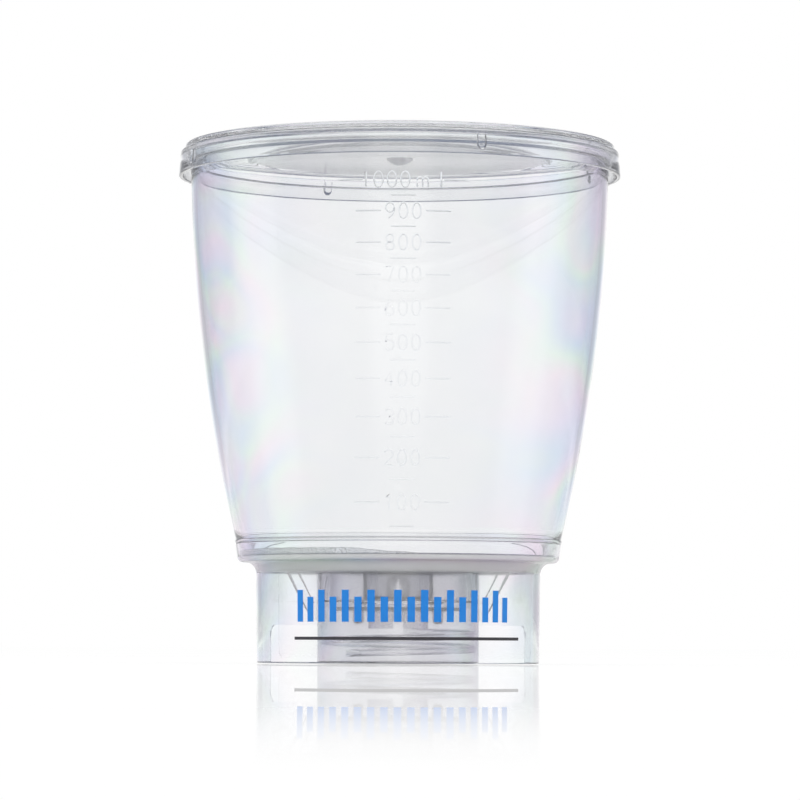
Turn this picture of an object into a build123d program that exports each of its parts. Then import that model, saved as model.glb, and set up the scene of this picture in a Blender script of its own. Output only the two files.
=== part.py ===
from build123d import *
import os
from math import cos, pi, radians, sin, sqrt

# Vacuum filtration unit: a clear bottle-top filter. A 1000 ml funnel with a lift-off lid stands on a
# base whose threaded neck screws onto a bottle. All sizes are in millimetres. The origin is the centre
# of the footprint, +Z is up along the axis of the neck, and the label faces -Y.

# ---------------------------------------------------------------- driving dimensions
# Funnel. Its outer wall is one long arc, seen in section.
bow_radius = 515.7  # radius of that arc
bow_height = 156.1  # height at which the arc runs vertical
bow_reach = 62.3  # radius of the funnel at that height
funnel_wall = 1.6
rim_top = 150.3
rim_flange_height = 2.1
rim_flange_reach = 63.5
rim_band_foot = 143.4  # the wall grows a little thicker above this height
rim_band_run = 2.5
rim_band_step = 0.25
spigot_top_reach = 47.1  # the thinner foot of the funnel stands inside the cup of the base
spigot_foot_reach = 46.5
spigot_foot = 31.7

# Joint between funnel and base.
joint_height = 35.35
joint_band_height = 1.0
joint_band_reach = 48.5
joint_band_foot_reach = 48.35
joint_gap = 0.05

# Graduated scale, raised on the front of the funnel.
scale_turn = 1.0  # degrees about Z from the front of the base
scale_step = 100  # millilitres between numbered marks
scale_full = 1000
relief = 0.25
stroke = 0.5  # width of the raised lines of the scale
numeral_height = 4.9
numeral_width = 2.9
numeral_pitch = 3.8

# Base: cup, support plate, skirt, well and neck are one moulding.
cup_bore = 47.0
cup_mouth_bore = 47.6
cup_foot_reach = 47.5
cup_corner = 1.5
flange_underside = 29.8
land_height = 31.5  # the membrane's edge is clamped on this land
land_bore = 43.9
glue_groove_floor = 30.2
underdrain_rim = 31.0  # the floor under the membrane falls from here
underdrain_lip = 30.6  # to here, at the mouth of the well
plate_underside = 28.0
skirt_foot_reach = 41.8
skirt_top_reach = 42.2
skirt_wall = 1.5
skirt_flare = 3.4
notch_half_angle = 73.5  # the notch in the back of the skirt
notch_height = 11.3
notch_corner = 4.0
drain_ring_count = 6  # low rings hold the membrane up off the floor
drain_ring_first = 24.0  # radius of the innermost one
drain_ring_pitch = 3.6
drain_ring_width = 1.0
drain_gap = 3.0  # width of the gaps that let the liquid through the rings

# Well and threaded neck, for a 45 mm bottle thread.
well_reach = 24.0
well_bore = 20.4
well_floor = 17.9
seat_height = 16.4  # the bottle's rim seals under this face
neck_smooth_bore = 22.6
thread_root = 23.05
thread_top = 10.0
thread_foot = 0.5
spout_reach = 8.9
spout_bore = 8.25
spout_foot = 10.2
drip_notch_width = 3.0
drip_notch_height = 2.1
stub_offset = 11.8
stub_radius = 1.6
stub_foot = 11.6
web_width = 1.2
shallow_web_foot = 28.6
shallow_web_end = 12.0  # the shallow webs stop at this radius

# Gussets between plate and neck, one at each side.
gusset_foot = 12.7
gusset_foot_reach = 25.7
gusset_top_reach = 33.95
gusset_width = 1.8
gusset_core_width = 3.2
gusset_core_foot = 17.8
gusset_core_inset = 3.3

# Vacuum channel, from the well to the back of the skirt, and the hose connector that closes it.
channel_half_width = 10.8
channel_foot = 18.8
channel_top = 27.4
channel_wall = 1.1
channel_end = 9.6
channel_face = 43.5  # its outer end
port_half_width = 4.5
port_depth = 3.0
connector_plate = 2.0
connector_plug = 2.2
connector_clearance = 0.05
nozzle_reach = 4.05
nozzle_land = 5.0
nozzle_groove = 0.3
nozzle_bore = 2.2
nozzle_tip = 64.0
barb_count = 4

# Membrane, gasket, glue and label.
membrane_radius = 45.9
membrane_thickness = 0.15
gasket_bore = 14.6
gasket_reach = 18.4
gasket_thickness = 0.95
glue_height = 32.2
label_turn = 6.1  # degrees about Z from the front
label_half_angle = 61.6
label_foot = 1.5
label_top = 26.9
label_thickness = 0.1
label_gap = 0.05
label_corner = 2.4

# Lid.
lid_foot = 144.5
lid_foot_reach = 65.8
lid_shoulder = 151.7
lid_shoulder_reach = 65.3
lid_wall = 1.1
lid_top = 153.8
lid_bead_reach = 64.0
lid_bead_bore = 62.3
lid_plate = 152.8  # top of the flat part inside the bead
lid_disc = 151.45  # top of the sunken disc
lid_disc_radius = 43.9
lid_disc_riser = 0.25  # the step up from the disc to the plate leans out by this much
lid_ledge_bore = 62.9  # the ledge under the shoulder rests on the funnel's rim
lid_gap = 0.1  # between the ledge and the rim
lid_dimple_radius = 4.0
lid_dimple_depth = 2.0
lid_rib_turns = (21.0, 111.0, 201.0, 291.0)  # degrees about Z from the front
lid_rib_width = 2.7
lid_rib_foot = 146.1
lid_rib_reach = 63.85

half_section = Plane.XZ  # sections are drawn as (radius, height)
connector_axis_height = (channel_foot + channel_top) / 2


# ---------------------------------------------------------------- helpers
def wall_radius(height, inset=0.0):
    """Radius of the funnel's bowed wall at a height, taken inset inside its outer surface."""
    arc = bow_radius - inset
    return bow_reach - bow_radius + sqrt(arc**2 - (height - bow_height) ** 2)


def wall_arc(foot, top, inset=0.0):
    """The bowed wall in section, from foot to top, as an arc through its middle."""
    heights = (foot, (foot + top) / 2, top)
    return ThreePointArc(*[(wall_radius(z, inset), z) for z in heights])


def fill_height(millilitres):
    """Height of the liquid for a volume, summed in thin slices from the membrane up."""
    slice_height = 0.01
    height = land_height + membrane_thickness
    volume = 0.0
    while volume < millilitres * 1000:
        volume += pi * wall_radius(height, funnel_wall) ** 2 * slice_height
        height += slice_height
    return height


def turned_plane(turn, reach):
    """An upright plane facing outwards at a turn about Z from the front, at a distance from the axis."""
    a = radians(turn)
    outward = (sin(a), -cos(a), 0)
    return Plane(origin=(reach * sin(a), -reach * cos(a), 0), x_dir=(cos(a), sin(a), 0), z_dir=outward)


def radial_plane(turn):
    """An upright plane through the axis. Its X runs outwards at a turn from the front, its Y runs up."""
    a = radians(turn)
    return Plane(origin=(0, 0, 0), x_dir=(sin(a), -cos(a), 0), z_dir=(-cos(a), -sin(a), 0))


def skirt_radius(height):
    """Outer radius of the skirt, which has a little draft."""
    return skirt_foot_reach + (skirt_top_reach - skirt_foot_reach) * height / flange_underside


def sector(inner, outer, half_angle, facing):
    """A ring sector centred on the Y axis, facing -1 for the front or 1 for the back."""
    a = radians(half_angle)
    with BuildLine() as outline:
        for reach in (inner, outer):
            left = (-reach * sin(a), facing * reach * cos(a))
            right = (reach * sin(a), facing * reach * cos(a))
            ThreePointArc(left, (0, facing * reach), right)
        for side in (-1, 1):
            near = (side * inner * sin(a), facing * inner * cos(a))
            far = (side * outer * sin(a), facing * outer * cos(a))
            Line(near, far)
    make_face(outline.edges())


def loop_stroke(centre_y, half_width, half_height):
    """An oval line of the scale's stroke width."""
    with Locations((0, centre_y)):
        Ellipse(half_width + stroke / 2, half_height + stroke / 2)
        Ellipse(half_width - stroke / 2, half_height - stroke / 2, mode=Mode.SUBTRACT)


def numeral(sign):
    """Draws one numeral, or the m or l of ml, about the current location."""
    w = (numeral_width - stroke) / 2
    h = (numeral_height - stroke) / 2
    loops = {
        "0": [(0, w, h)],
        "6": [(-0.4 * h, w, 0.6 * h)],
        "8": [(0.5 * h, 0.85 * w, 0.5 * h), (-0.5 * h, w, 0.5 * h)],
        "9": [(0.4 * h, w, 0.6 * h)],
    }
    arcs = {
        "2": [[(-w, 0.5 * h), (0.1 * w, h), (0.6 * w, 0.1 * h)]],
        "3": [
            [(-0.9 * w, 0.75 * h), (0.8 * w, 0.55 * h), (-0.2 * w, 0.1 * h)],
            [(-0.2 * w, 0.1 * h), (w, -0.5 * h), (-w, -0.75 * h)],
        ],
        "5": [[(-0.85 * w, 0.05 * h), (w, -0.35 * h), (-0.9 * w, -0.85 * h)]],
        "6": [[(0.7 * w, 0.95 * h), (-0.55 * w, 0.55 * h), (-w, -0.35 * h)]],
        "9": [[(-0.7 * w, -0.95 * h), (0.55 * w, -0.55 * h), (w, 0.35 * h)]],
        "m": [
            [(-1.3 * w, -0.1 * h), (-0.65 * w, 0.25 * h), (0, -0.1 * h)],
            [(0, -0.1 * h), (0.65 * w, 0.25 * h), (1.3 * w, -0.1 * h)],
        ],
    }
    lines = {
        "1": [[(-0.6 * w, 0.6 * h), (0.2 * w, h)], [(0.2 * w, h), (0.2 * w, -h)]],
        "2": [[(0.6 * w, 0.1 * h), (-w, -h)], [(-w, -h), (w, -h)]],
        "4": [
            [(0.45 * w, -h), (0.45 * w, h)],
            [(0.45 * w, h), (-w, -0.4 * h)],
            [(-w, -0.4 * h), (w, -0.4 * h)],
        ],
        "5": [[(0.8 * w, h), (-0.7 * w, h)], [(-0.7 * w, h), (-0.85 * w, 0.05 * h)]],
        "7": [[(-w, h), (w, h)], [(w, h), (-0.3 * w, -h)]],
        "m": [[(x * w, -h), (x * w, -0.1 * h)] for x in (-1.3, 0, 1.3)],
        "l": [[(0, h), (0, -h)]],
    }
    for loop in loops.get(sign, []):
        loop_stroke(*loop)
    for points in arcs.get(sign, []):
        SlotArc(Edge.make_three_point_arc(*points), stroke)
    for points in lines.get(sign, []):
        SlotArc(Edge.make_line(*points), stroke)


# ---------------------------------------------------------------- funnel
with BuildPart() as scale_relief:
    with BuildSketch(turned_plane(scale_turn, bow_reach + 2)):
        for volume in range(scale_step, scale_full + 1, scale_step):
            signs = str(volume)
            full = volume == scale_full
            unit_pitch = 5.2
            row_width = (len(signs) - 1) * numeral_pitch + (2 * unit_pitch if full else 0)
            for place, sign in enumerate(signs):
                with Locations((place * numeral_pitch - row_width / 2, fill_height(volume))):
                    numeral(sign)
            if full:
                with Locations((row_width / 2 - unit_pitch * 1.05, fill_height(volume))):
                    numeral("m")
                with Locations((row_width / 2 - 0.2, fill_height(volume))):
                    numeral("l")
            mark_centre = 15.1 if full else 10.0
            with Locations((-mark_centre, fill_height(volume)), (mark_centre, fill_height(volume))):
                SlotOverall(7.2, stroke)
            with Locations((0, fill_height(volume - scale_step / 2))):
                SlotOverall(7.2, stroke)
    extrude(amount=-bow_reach / 2)
    with BuildSketch(half_section):
        with BuildLine():
            wall_arc(joint_height + 2, rim_band_foot - 1, inset=funnel_wall / 4)
            wall_arc(joint_height + 2, rim_band_foot - 1, inset=-relief)
            for height in (joint_height + 2, rim_band_foot - 1):
                Line((wall_radius(height, funnel_wall / 4), height), (wall_radius(height, -relief), height))
        make_face()
    revolve(axis=Axis.Z, mode=Mode.INTERSECT)

with BuildPart() as funnel:
    band_top = joint_height + joint_band_height
    with BuildSketch(half_section) as funnel_section:
        with BuildLine():
            Polyline(
                (wall_radius(spigot_foot, funnel_wall), spigot_foot),
                (spigot_foot_reach, spigot_foot),
                (spigot_top_reach, joint_height),
                (joint_band_foot_reach, joint_height),
                (joint_band_reach, band_top),
                (wall_radius(band_top), band_top),
            )
            wall_arc(band_top, rim_band_foot)
            Polyline(
                (wall_radius(rim_band_foot), rim_band_foot),
                (wall_radius(rim_band_foot) + rim_band_step, rim_band_foot + rim_band_run),
                (wall_radius(rim_top - rim_flange_height) + rim_band_step, rim_top - rim_flange_height),
                (rim_flange_reach, rim_top - rim_flange_height),
                (rim_flange_reach, rim_top),
                (wall_radius(rim_top, funnel_wall), rim_top),
            )
            wall_arc(spigot_foot, rim_top, inset=funnel_wall)
        make_face()
        rim_corners = funnel_section.vertices().filter_by(lambda v: v.Y > rim_top - 0.1)
        fillet(rim_corners, 0.6)
        flange_corner = funnel_section.vertices().filter_by(
            lambda v: v.X > rim_flange_reach - 0.1 and v.Y < rim_top - rim_flange_height + 0.1
        )
        fillet(flange_corner, 0.4)
        flange_root = funnel_section.vertices().filter_by(
            lambda v: abs(v.Y - rim_top + rim_flange_height) < 0.01 and v.X < rim_flange_reach - 0.5
        )
        fillet(flange_root, 0.5)
    revolve(axis=Axis.Z)
    add(scale_relief.part)

# ---------------------------------------------------------------- membrane, gasket, glue
with BuildPart() as membrane:
    with BuildSketch(Plane.XY.offset(land_height)):
        Circle(membrane_radius)
    extrude(amount=membrane_thickness)

with BuildPart() as neck_gasket:
    with BuildSketch(Plane.XY.offset(seat_height - gasket_thickness)):
        Circle(gasket_reach)
        Circle(gasket_bore, mode=Mode.SUBTRACT)
    extrude(amount=gasket_thickness)
    fillet(neck_gasket.edges().group_by(Axis.Z)[0], 0.3)

with BuildPart() as glue_bead:
    with BuildSketch(half_section) as glue_section:
        with Locations((cup_bore - 0.05, glue_groove_floor + 0.05)):
            Rectangle(
                cup_bore - spigot_foot_reach - 0.2,
                glue_height - glue_groove_floor - 0.05,
                align=(Align.MAX, Align.MIN),
            )
        fillet(glue_section.vertices().group_by(Axis.Y)[-1], 0.1)
    revolve(axis=Axis.Z)

# ---------------------------------------------------------------- drain rings
with BuildPart() as drain_rings:
    with BuildSketch(half_section):
        for ring in range(drain_ring_count):
            with Locations((drain_ring_first + ring * drain_ring_pitch, plate_underside + 1)):
                Rectangle(
                    drain_ring_width,
                    land_height - plate_underside - 1,
                    align=(Align.CENTER, Align.MIN),
                )
    revolve(axis=Axis.Z)
    with BuildSketch(Plane.XY.offset(plate_underside)):
        for turn in (22.5, 67.5, 112.5, 157.5):
            Rectangle(2 * land_bore, drain_gap, rotation=turn)
    extrude(amount=land_height - plate_underside + 1, mode=Mode.SUBTRACT)

# ---------------------------------------------------------------- gusset
with BuildPart() as gusset:
    # A thin tapered plate with a thicker core near the neck. It runs a little way into its neighbours.
    root = well_reach - 0.6
    head = plate_underside + 0.4
    slope = (gusset_top_reach - gusset_foot_reach) / (plate_underside - gusset_foot)
    head_reach = gusset_top_reach + slope * (head - plate_underside)
    core_reach = gusset_foot_reach - gusset_core_inset + slope * (gusset_core_foot - gusset_foot)
    with BuildSketch(radial_plane(0)):
        Polygon(
            (root, gusset_foot),
            (gusset_foot_reach, gusset_foot),
            (head_reach, head),
            (root, head),
            align=None,
        )
    extrude(amount=gusset_width / 2, both=True)
    slope_edges = gusset.faces().sort_by(Axis.Y)[0].edges().filter_by(Axis.X, reverse=True)
    fillet(slope_edges, gusset_width / 2 - 0.05)
    with BuildSketch(radial_plane(0)):
        Polygon(
            (root, gusset_core_foot - 0.5),
            (core_reach, gusset_core_foot),
            (head_reach - gusset_core_inset, head),
            (root, head),
            align=None,
        )
    extrude(amount=gusset_core_width / 2, both=True)
    core_edges = gusset.edges().filter_by(lambda e: abs(abs(e.center().X) - gusset_core_width / 2) < 0.01)
    fillet(core_edges.filter_by(lambda e: e.center().Y < -root - 1 and abs(e.tangent_at(0.5).Z) > 0.5), 0.6)

# ---------------------------------------------------------------- base
with BuildPart() as base:
    # Cup, plate, skirt, well, spout and neck share one section.
    with BuildSketch(half_section) as base_section:
        with BuildLine():
            Polyline(
                (skirt_foot_reach, 0),
                (skirt_top_reach, flange_underside),
                (cup_foot_reach, flange_underside),
                (joint_band_foot_reach, joint_height - joint_gap),
                (cup_mouth_bore, joint_height - joint_gap),
                (cup_bore, spigot_foot),
                (cup_bore, glue_groove_floor),
                (spigot_foot_reach, glue_groove_floor),
                (spigot_foot_reach, land_height),
                (land_bore, land_height),
                (land_bore, underdrain_rim),
                (well_bore, underdrain_lip),
                (well_bore, well_floor),
                (spout_bore, well_floor),
                (spout_bore, spout_foot),
                (spout_reach, spout_foot),
                (spout_reach, seat_height),
                (neck_smooth_bore, seat_height),
                (neck_smooth_bore, thread_top),
                (thread_root, thread_top),
                (thread_root, thread_foot),
                (thread_root + thread_foot, 0),
                (well_reach, 0),
                (well_reach, plate_underside),
                (skirt_top_reach - skirt_wall, plate_underside),
                (skirt_foot_reach - skirt_wall, 0),
                close=True,
            )
        make_face()
        section_corners = {
            (skirt_top_reach, flange_underside): skirt_flare,
            (cup_foot_reach, flange_underside): cup_corner,
            (joint_band_foot_reach, joint_height - joint_gap): 0.2,
            (well_bore, underdrain_lip): 0.8,
            (well_bore, well_floor): 0.8,
            (spout_bore, well_floor): 0.6,
            (spout_reach, seat_height): 0.5,
            (well_reach, plate_underside): 1.0,
            (skirt_top_reach - skirt_wall, plate_underside): 1.0,
            (skirt_foot_reach, 0): 0.3,
            (skirt_foot_reach - skirt_wall, 0): 0.4,
            (well_reach, 0): 0.4,
        }
        for (reach, height), radius in section_corners.items():
            corner = base_section.vertices().filter_by(
                lambda v: abs(v.X - reach) < 0.01 and abs(v.Y - height) < 0.01
            )
            fillet(corner, radius)
    revolve(axis=Axis.Z)

    # Low rings, open at eight gaps, hold the membrane up off the sloping floor of the underdrain.
    add(drain_rings.part)

    # A cross of webs fills the well's depth, with short shallow webs between. They hold the membrane up.
    webs = (((0, 90), well_floor - 0.4, spout_bore - 2.2), ((45, 135), shallow_web_foot, shallow_web_end))
    for turns, foot, end in webs:
        with BuildSketch(Plane.XY.offset(foot)):
            for turn in turns:
                Rectangle(2 * well_bore + 0.6, web_width, rotation=turn)
            Circle(end, mode=Mode.SUBTRACT)
        extrude(amount=land_height - foot)

    # Gussets brace the neck at both sides.
    for turn in (-90, 90):
        add(gusset.part, rotation=(0, 0, turn))

    # Two small stubs hang inside the bottle's mouth, beside the spout.
    with BuildSketch(Plane.XY.offset(seat_height + 0.3)):
        with Locations((-stub_offset, 0), (stub_offset, 0)):
            Circle(stub_radius)
    extrude(amount=stub_foot - seat_height - 0.3)
    stub_ends = base.edges().filter_by(GeomType.CIRCLE)
    stub_ends = stub_ends.filter_by_position(Axis.Z, stub_foot - 0.01, stub_foot + 0.01)
    fillet(stub_ends.filter_by(lambda e: abs(e.radius - stub_radius) < 0.01), 1.2)

    # The vacuum channel runs from over the seat, inside the well, to the back of the skirt.
    with BuildSketch(Plane.XZ.offset(-channel_end)):
        with Locations((0, connector_axis_height)):
            RectangleRounded(2 * channel_half_width, channel_top - channel_foot, 0.6)
    extrude(amount=channel_end - channel_face)
    with BuildSketch(Plane.XY.offset(well_floor - 0.4)):
        with Locations((0, channel_end)):
            Rectangle(
                2 * (port_half_width + channel_wall),
                port_depth + 2 * channel_wall,
                align=(Align.CENTER, Align.MIN),
            )
    extrude(amount=channel_foot - well_floor + 0.8)
    with BuildSketch(Plane.XZ.offset(-channel_end - channel_wall)):
        with Locations((0, connector_axis_height)):
            Rectangle(2 * (channel_half_width - channel_wall), channel_top - channel_foot - 2 * channel_wall)
    extrude(amount=channel_end - channel_face, mode=Mode.SUBTRACT)
    with BuildSketch(Plane.XY.offset(seat_height - 1)):
        with Locations((0, channel_end + channel_wall)):
            Rectangle(2 * port_half_width, port_depth, align=(Align.CENTER, Align.MIN))
    extrude(amount=channel_foot + 2 * channel_wall - seat_height + 1, mode=Mode.SUBTRACT)

    # A wide notch with round corners opens the back of the skirt.
    with BuildSketch(Plane.XY):
        sector(well_reach + 6, skirt_foot_reach + 4, notch_half_angle, 1)
    extrude(amount=notch_height, mode=Mode.SUBTRACT)
    notch_corners = base.edges().filter_by(
        lambda e: abs(e.center().Z - notch_height) < 0.01 and e.length < 2 * skirt_wall
    )
    fillet(notch_corners, notch_corner)

    # Drip notches in the foot of the spout.
    with BuildSketch(Plane.XY.offset(spout_foot)):
        Rectangle(drip_notch_width, 2 * spout_reach + 1)
    extrude(amount=drip_notch_height, mode=Mode.SUBTRACT)

# ---------------------------------------------------------------- hose connector
with BuildPart() as hose_connector:
    plate_height = channel_top - channel_foot
    with BuildSketch(Plane.XZ.offset(-channel_face)):
        with Locations((0, connector_axis_height)):
            RectangleRounded(2 * channel_half_width, plate_height, 0.6)
    extrude(amount=-connector_plate)
    fillet(hose_connector.faces().sort_by(Axis.Y)[-1].edges(), 0.5)
    with BuildSketch(Plane.XZ.offset(-channel_face)):
        with Locations((0, connector_axis_height)):
            Rectangle(
                2 * (channel_half_width - channel_wall - connector_clearance),
                plate_height - 2 * (channel_wall + connector_clearance),
            )
    extrude(amount=connector_plug)
    nozzle_root = channel_face + connector_plate
    barb_start = nozzle_root + nozzle_land
    barb_pitch = (nozzle_tip - barb_start) / barb_count
    nozzle_plane = Plane(origin=(0, 0, connector_axis_height), x_dir=(0, 1, 0), z_dir=(1, 0, 0))
    with BuildSketch(nozzle_plane):
        with BuildLine():
            outline = [
                (channel_face, 0),
                (channel_face, nozzle_reach - 0.2),
                (nozzle_root + nozzle_groove, nozzle_reach - 0.2),
                (nozzle_root + nozzle_groove, nozzle_reach),
                (barb_start, nozzle_reach),
            ]
            for barb in range(barb_count):
                start = barb_start + barb * barb_pitch
                crest = nozzle_reach - 0.1 - 0.12 * barb
                outline.append((start, crest - 0.65))
                outline.append((start + 0.3, crest - 0.65))
                outline.append((start + 0.5, crest))
                outline.append((start + barb_pitch, crest - 0.65))
            outline.append((nozzle_tip, 0))
            Polyline(*outline, close=True)
        make_face()
    revolve(axis=Axis((0, 0, connector_axis_height), (0, 1, 0)))
    with BuildSketch(Plane.XZ.offset(-nozzle_tip)):
        with Locations((0, connector_axis_height)):
            Circle(nozzle_bore)
    extrude(amount=nozzle_tip - channel_end, mode=Mode.SUBTRACT)

# ---------------------------------------------------------------- label
with BuildPart() as label:
    with BuildSketch(Plane.XY.offset(label_foot).rotated((0, 0, label_turn))):
        sector(skirt_foot_reach - 4, skirt_top_reach + 4, label_half_angle, -1)
    extrude(amount=label_top - label_foot)
    label_corners = label.edges().filter_by(
        lambda e: abs(e.length - 8 - skirt_top_reach + skirt_foot_reach) < 0.01
    )
    fillet(label_corners, label_corner)
    with BuildSketch(half_section):
        inner = label_gap
        outer = label_gap + label_thickness
        Polygon(
            (skirt_radius(0) + inner, 0),
            (skirt_radius(0) + outer, 0),
            (skirt_radius(flange_underside) + outer, flange_underside),
            (skirt_radius(flange_underside) + inner, flange_underside),
            align=None,
        )
    revolve(axis=Axis.Z, mode=Mode.INTERSECT)

# ---------------------------------------------------------------- lid
with BuildPart() as lid:
    ledge_height = rim_top + lid_gap
    plate_underside_height = lid_plate - lid_wall
    with BuildSketch(half_section) as lid_section:
        with BuildLine():
            Polyline(
                (0, lid_disc),
                (lid_disc_radius, lid_disc),
                (lid_disc_radius + lid_disc_riser, lid_plate),
                (lid_bead_bore - 0.3, lid_plate),
                (lid_bead_bore + 0.2, lid_top),
                (lid_bead_reach, lid_top),
                (lid_bead_reach + 0.2, lid_shoulder + 0.3),
                (lid_shoulder_reach, lid_shoulder),
                (lid_foot_reach, lid_foot),
                (lid_foot_reach - lid_wall, lid_foot),
                (lid_shoulder_reach - lid_wall, ledge_height),
                (lid_ledge_bore, ledge_height),
                (lid_ledge_bore - 0.1, plate_underside_height),
                (lid_disc_radius + lid_disc_riser + 1.05, plate_underside_height),
                (lid_disc_radius + 1.05, lid_disc - lid_wall),
                (0, lid_disc - lid_wall),
                close=True,
            )
        make_face()
        lid_corners = {
            (lid_bead_bore + 0.2, lid_top): 0.5,
            (lid_bead_reach, lid_top): 0.6,
            (lid_bead_bore - 0.3, lid_plate): 0.3,
            (lid_shoulder_reach, lid_shoulder): 0.5,
            (lid_foot_reach, lid_foot): 0.3,
            (lid_foot_reach - lid_wall, lid_foot): 0.3,
            (lid_shoulder_reach - lid_wall, ledge_height): 0.4,
            (lid_ledge_bore, ledge_height): 0.3,
            (lid_disc_radius, lid_disc): 0.3,
            (lid_disc_radius + lid_disc_riser, lid_plate): 0.3,
            (lid_disc_radius + lid_disc_riser + 1.05, plate_underside_height): 0.3,
            (lid_disc_radius + 1.05, lid_disc - lid_wall): 0.3,
        }
        for (reach, height), radius in lid_corners.items():
            corner = lid_section.vertices().filter_by(
                lambda v: abs(v.X - reach) < 0.01 and abs(v.Y - height) < 0.01
            )
            fillet(corner, radius)
    revolve(axis=Axis.Z)

    # The moulding gate leaves a small dished dimple in the middle.
    cap_radius = (lid_dimple_radius**2 + lid_dimple_depth**2) / (2 * lid_dimple_depth)
    for underside, mode in ((lid_disc - lid_wall, Mode.ADD), (lid_disc, Mode.SUBTRACT)):
        with BuildSketch(half_section):
            with BuildLine():
                Line((0, underside), (lid_dimple_radius, underside))
                RadiusArc((lid_dimple_radius, underside), (0, underside - lid_dimple_depth), cap_radius)
                Line((0, underside - lid_dimple_depth), (0, underside))
            make_face()
        revolve(axis=Axis.Z, mode=mode)

    # Four short ribs inside the skirt centre the lid on the funnel's rim.
    for turn in lid_rib_turns:
        with BuildSketch(turned_plane(turn, lid_rib_reach)):
            rib_end = lid_rib_foot + lid_rib_width / 2
            rib_head = ledge_height + 0.3
            with Locations((0, (rib_end + rib_head) / 2)):
                Rectangle(lid_rib_width, rib_head - rib_end)
            with Locations((0, rib_end)):
                Circle(lid_rib_width / 2)
        extrude(amount=1.0)

# ---------------------------------------------------------------- export
funnel.part.label = "funnel"
membrane.part.label = "membrane"
neck_gasket.part.label = "neck_gasket"
glue_bead.part.label = "glue_bead"
base.part.label = "base"
hose_connector.part.label = "hose_connector"
label.part.label = "label"
lid.part.label = "lid"

os.makedirs("parts", exist_ok=True)
for piece in (funnel, membrane, neck_gasket, glue_bead, base, hose_connector, label, lid):
    export_step(piece.part, f"parts/{piece.part.label}.step")
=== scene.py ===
import math
import random

import bmesh
import bpy
from mathutils import Matrix, Vector


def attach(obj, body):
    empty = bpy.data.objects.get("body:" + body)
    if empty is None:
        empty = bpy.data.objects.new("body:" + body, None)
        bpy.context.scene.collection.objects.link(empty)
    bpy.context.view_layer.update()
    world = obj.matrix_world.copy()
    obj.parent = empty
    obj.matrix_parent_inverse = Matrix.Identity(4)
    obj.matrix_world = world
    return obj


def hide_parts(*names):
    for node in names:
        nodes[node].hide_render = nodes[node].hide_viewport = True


# Looks, lights and camera for the vacuum filtration unit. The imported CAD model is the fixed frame.
# The fine mouldings of the lid and the funnel, the lines of the scale, the print on the label, the neck's
# thread and the edge of the glue are made here. Lengths are in metres where a section doesn't say otherwise.

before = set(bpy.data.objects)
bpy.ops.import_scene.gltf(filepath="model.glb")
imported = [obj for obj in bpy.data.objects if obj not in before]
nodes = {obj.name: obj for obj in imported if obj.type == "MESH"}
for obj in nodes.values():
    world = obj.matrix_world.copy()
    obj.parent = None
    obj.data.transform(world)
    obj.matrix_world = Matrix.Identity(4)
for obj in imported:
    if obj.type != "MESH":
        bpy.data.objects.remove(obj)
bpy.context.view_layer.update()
scene = bpy.context.scene
random.seed(7)

# sizes shared with the CAD part
SKIRT_FOOT_REACH = 0.0418
SKIRT_TOP_REACH = 0.0422
SKIRT_HEIGHT = 0.0298
THREAD_ROOT = 0.02303
THREAD_CREST = 0.0212
THREAD_PITCH = 0.004


# ---------------------------------------------------------------- node helpers
def new_material(name):
    material = bpy.data.materials.new(name)
    material.use_nodes = True
    tree = material.node_tree
    tree.nodes.clear()
    return material, tree


def add_node(tree, kind, **settings):
    """A node of a kind. Settings are node properties, or socket defaults when the name is a socket."""
    node = tree.nodes.new(kind)
    for key, value in settings.items():
        if key in node.inputs:
            node.inputs[key].default_value = value
        else:
            setattr(node, key, value)
    return node


def math_node(tree, operation, a, b=None, clamp=False):
    """A maths node. a and b are numbers or output sockets. Returns the output socket."""
    node = tree.nodes.new("ShaderNodeMath")
    node.operation = operation
    node.use_clamp = clamp
    for index, value in enumerate((a, b)):
        if value is None:
            continue
        if isinstance(value, (int, float)):
            node.inputs[index].default_value = value
        else:
            tree.links.new(value, node.inputs[index])
    return node.outputs[0]


def ramp(tree, factor, stops):
    """A colour ramp through (position, colour) stops. Returns the colour socket."""
    node = tree.nodes.new("ShaderNodeValToRGB")
    elements = node.color_ramp.elements
    elements[0].position, elements[0].color = stops[0][0], (*stops[0][1], 1)
    elements[1].position, elements[1].color = stops[-1][0], (*stops[-1][1], 1)
    for position, colour in stops[1:-1]:
        element = elements.new(position)
        element.color = (*colour, 1)
    tree.links.new(factor, node.inputs["Fac"])
    return node.outputs["Color"]


def object_noise(tree, scale, detail=2.0, roughness=0.5, stretch=(1, 1, 1)):
    """Noise in the object's own space. Returns the noise node."""
    place = add_node(tree, "ShaderNodeTexCoord")
    mapping = add_node(tree, "ShaderNodeMapping")
    mapping.inputs["Scale"].default_value = stretch
    noise = add_node(tree, "ShaderNodeTexNoise", Scale=scale, Detail=detail, Roughness=roughness)
    tree.links.new(place.outputs["Object"], mapping.inputs["Vector"])
    tree.links.new(mapping.outputs["Vector"], noise.inputs["Vector"])
    return noise


def smooth_step(tree, value, start, end, low, high):
    """A value that goes smoothly from low at start to high at end. Returns the output socket."""
    node = add_node(tree, "ShaderNodeMapRange", interpolation_type="SMOOTHSTEP")
    for socket, number in (("From Min", start), ("From Max", end), ("To Min", low), ("To Max", high)):
        node.inputs[socket].default_value = number
    tree.links.new(value, node.inputs["Value"])
    return node.outputs["Result"]


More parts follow.
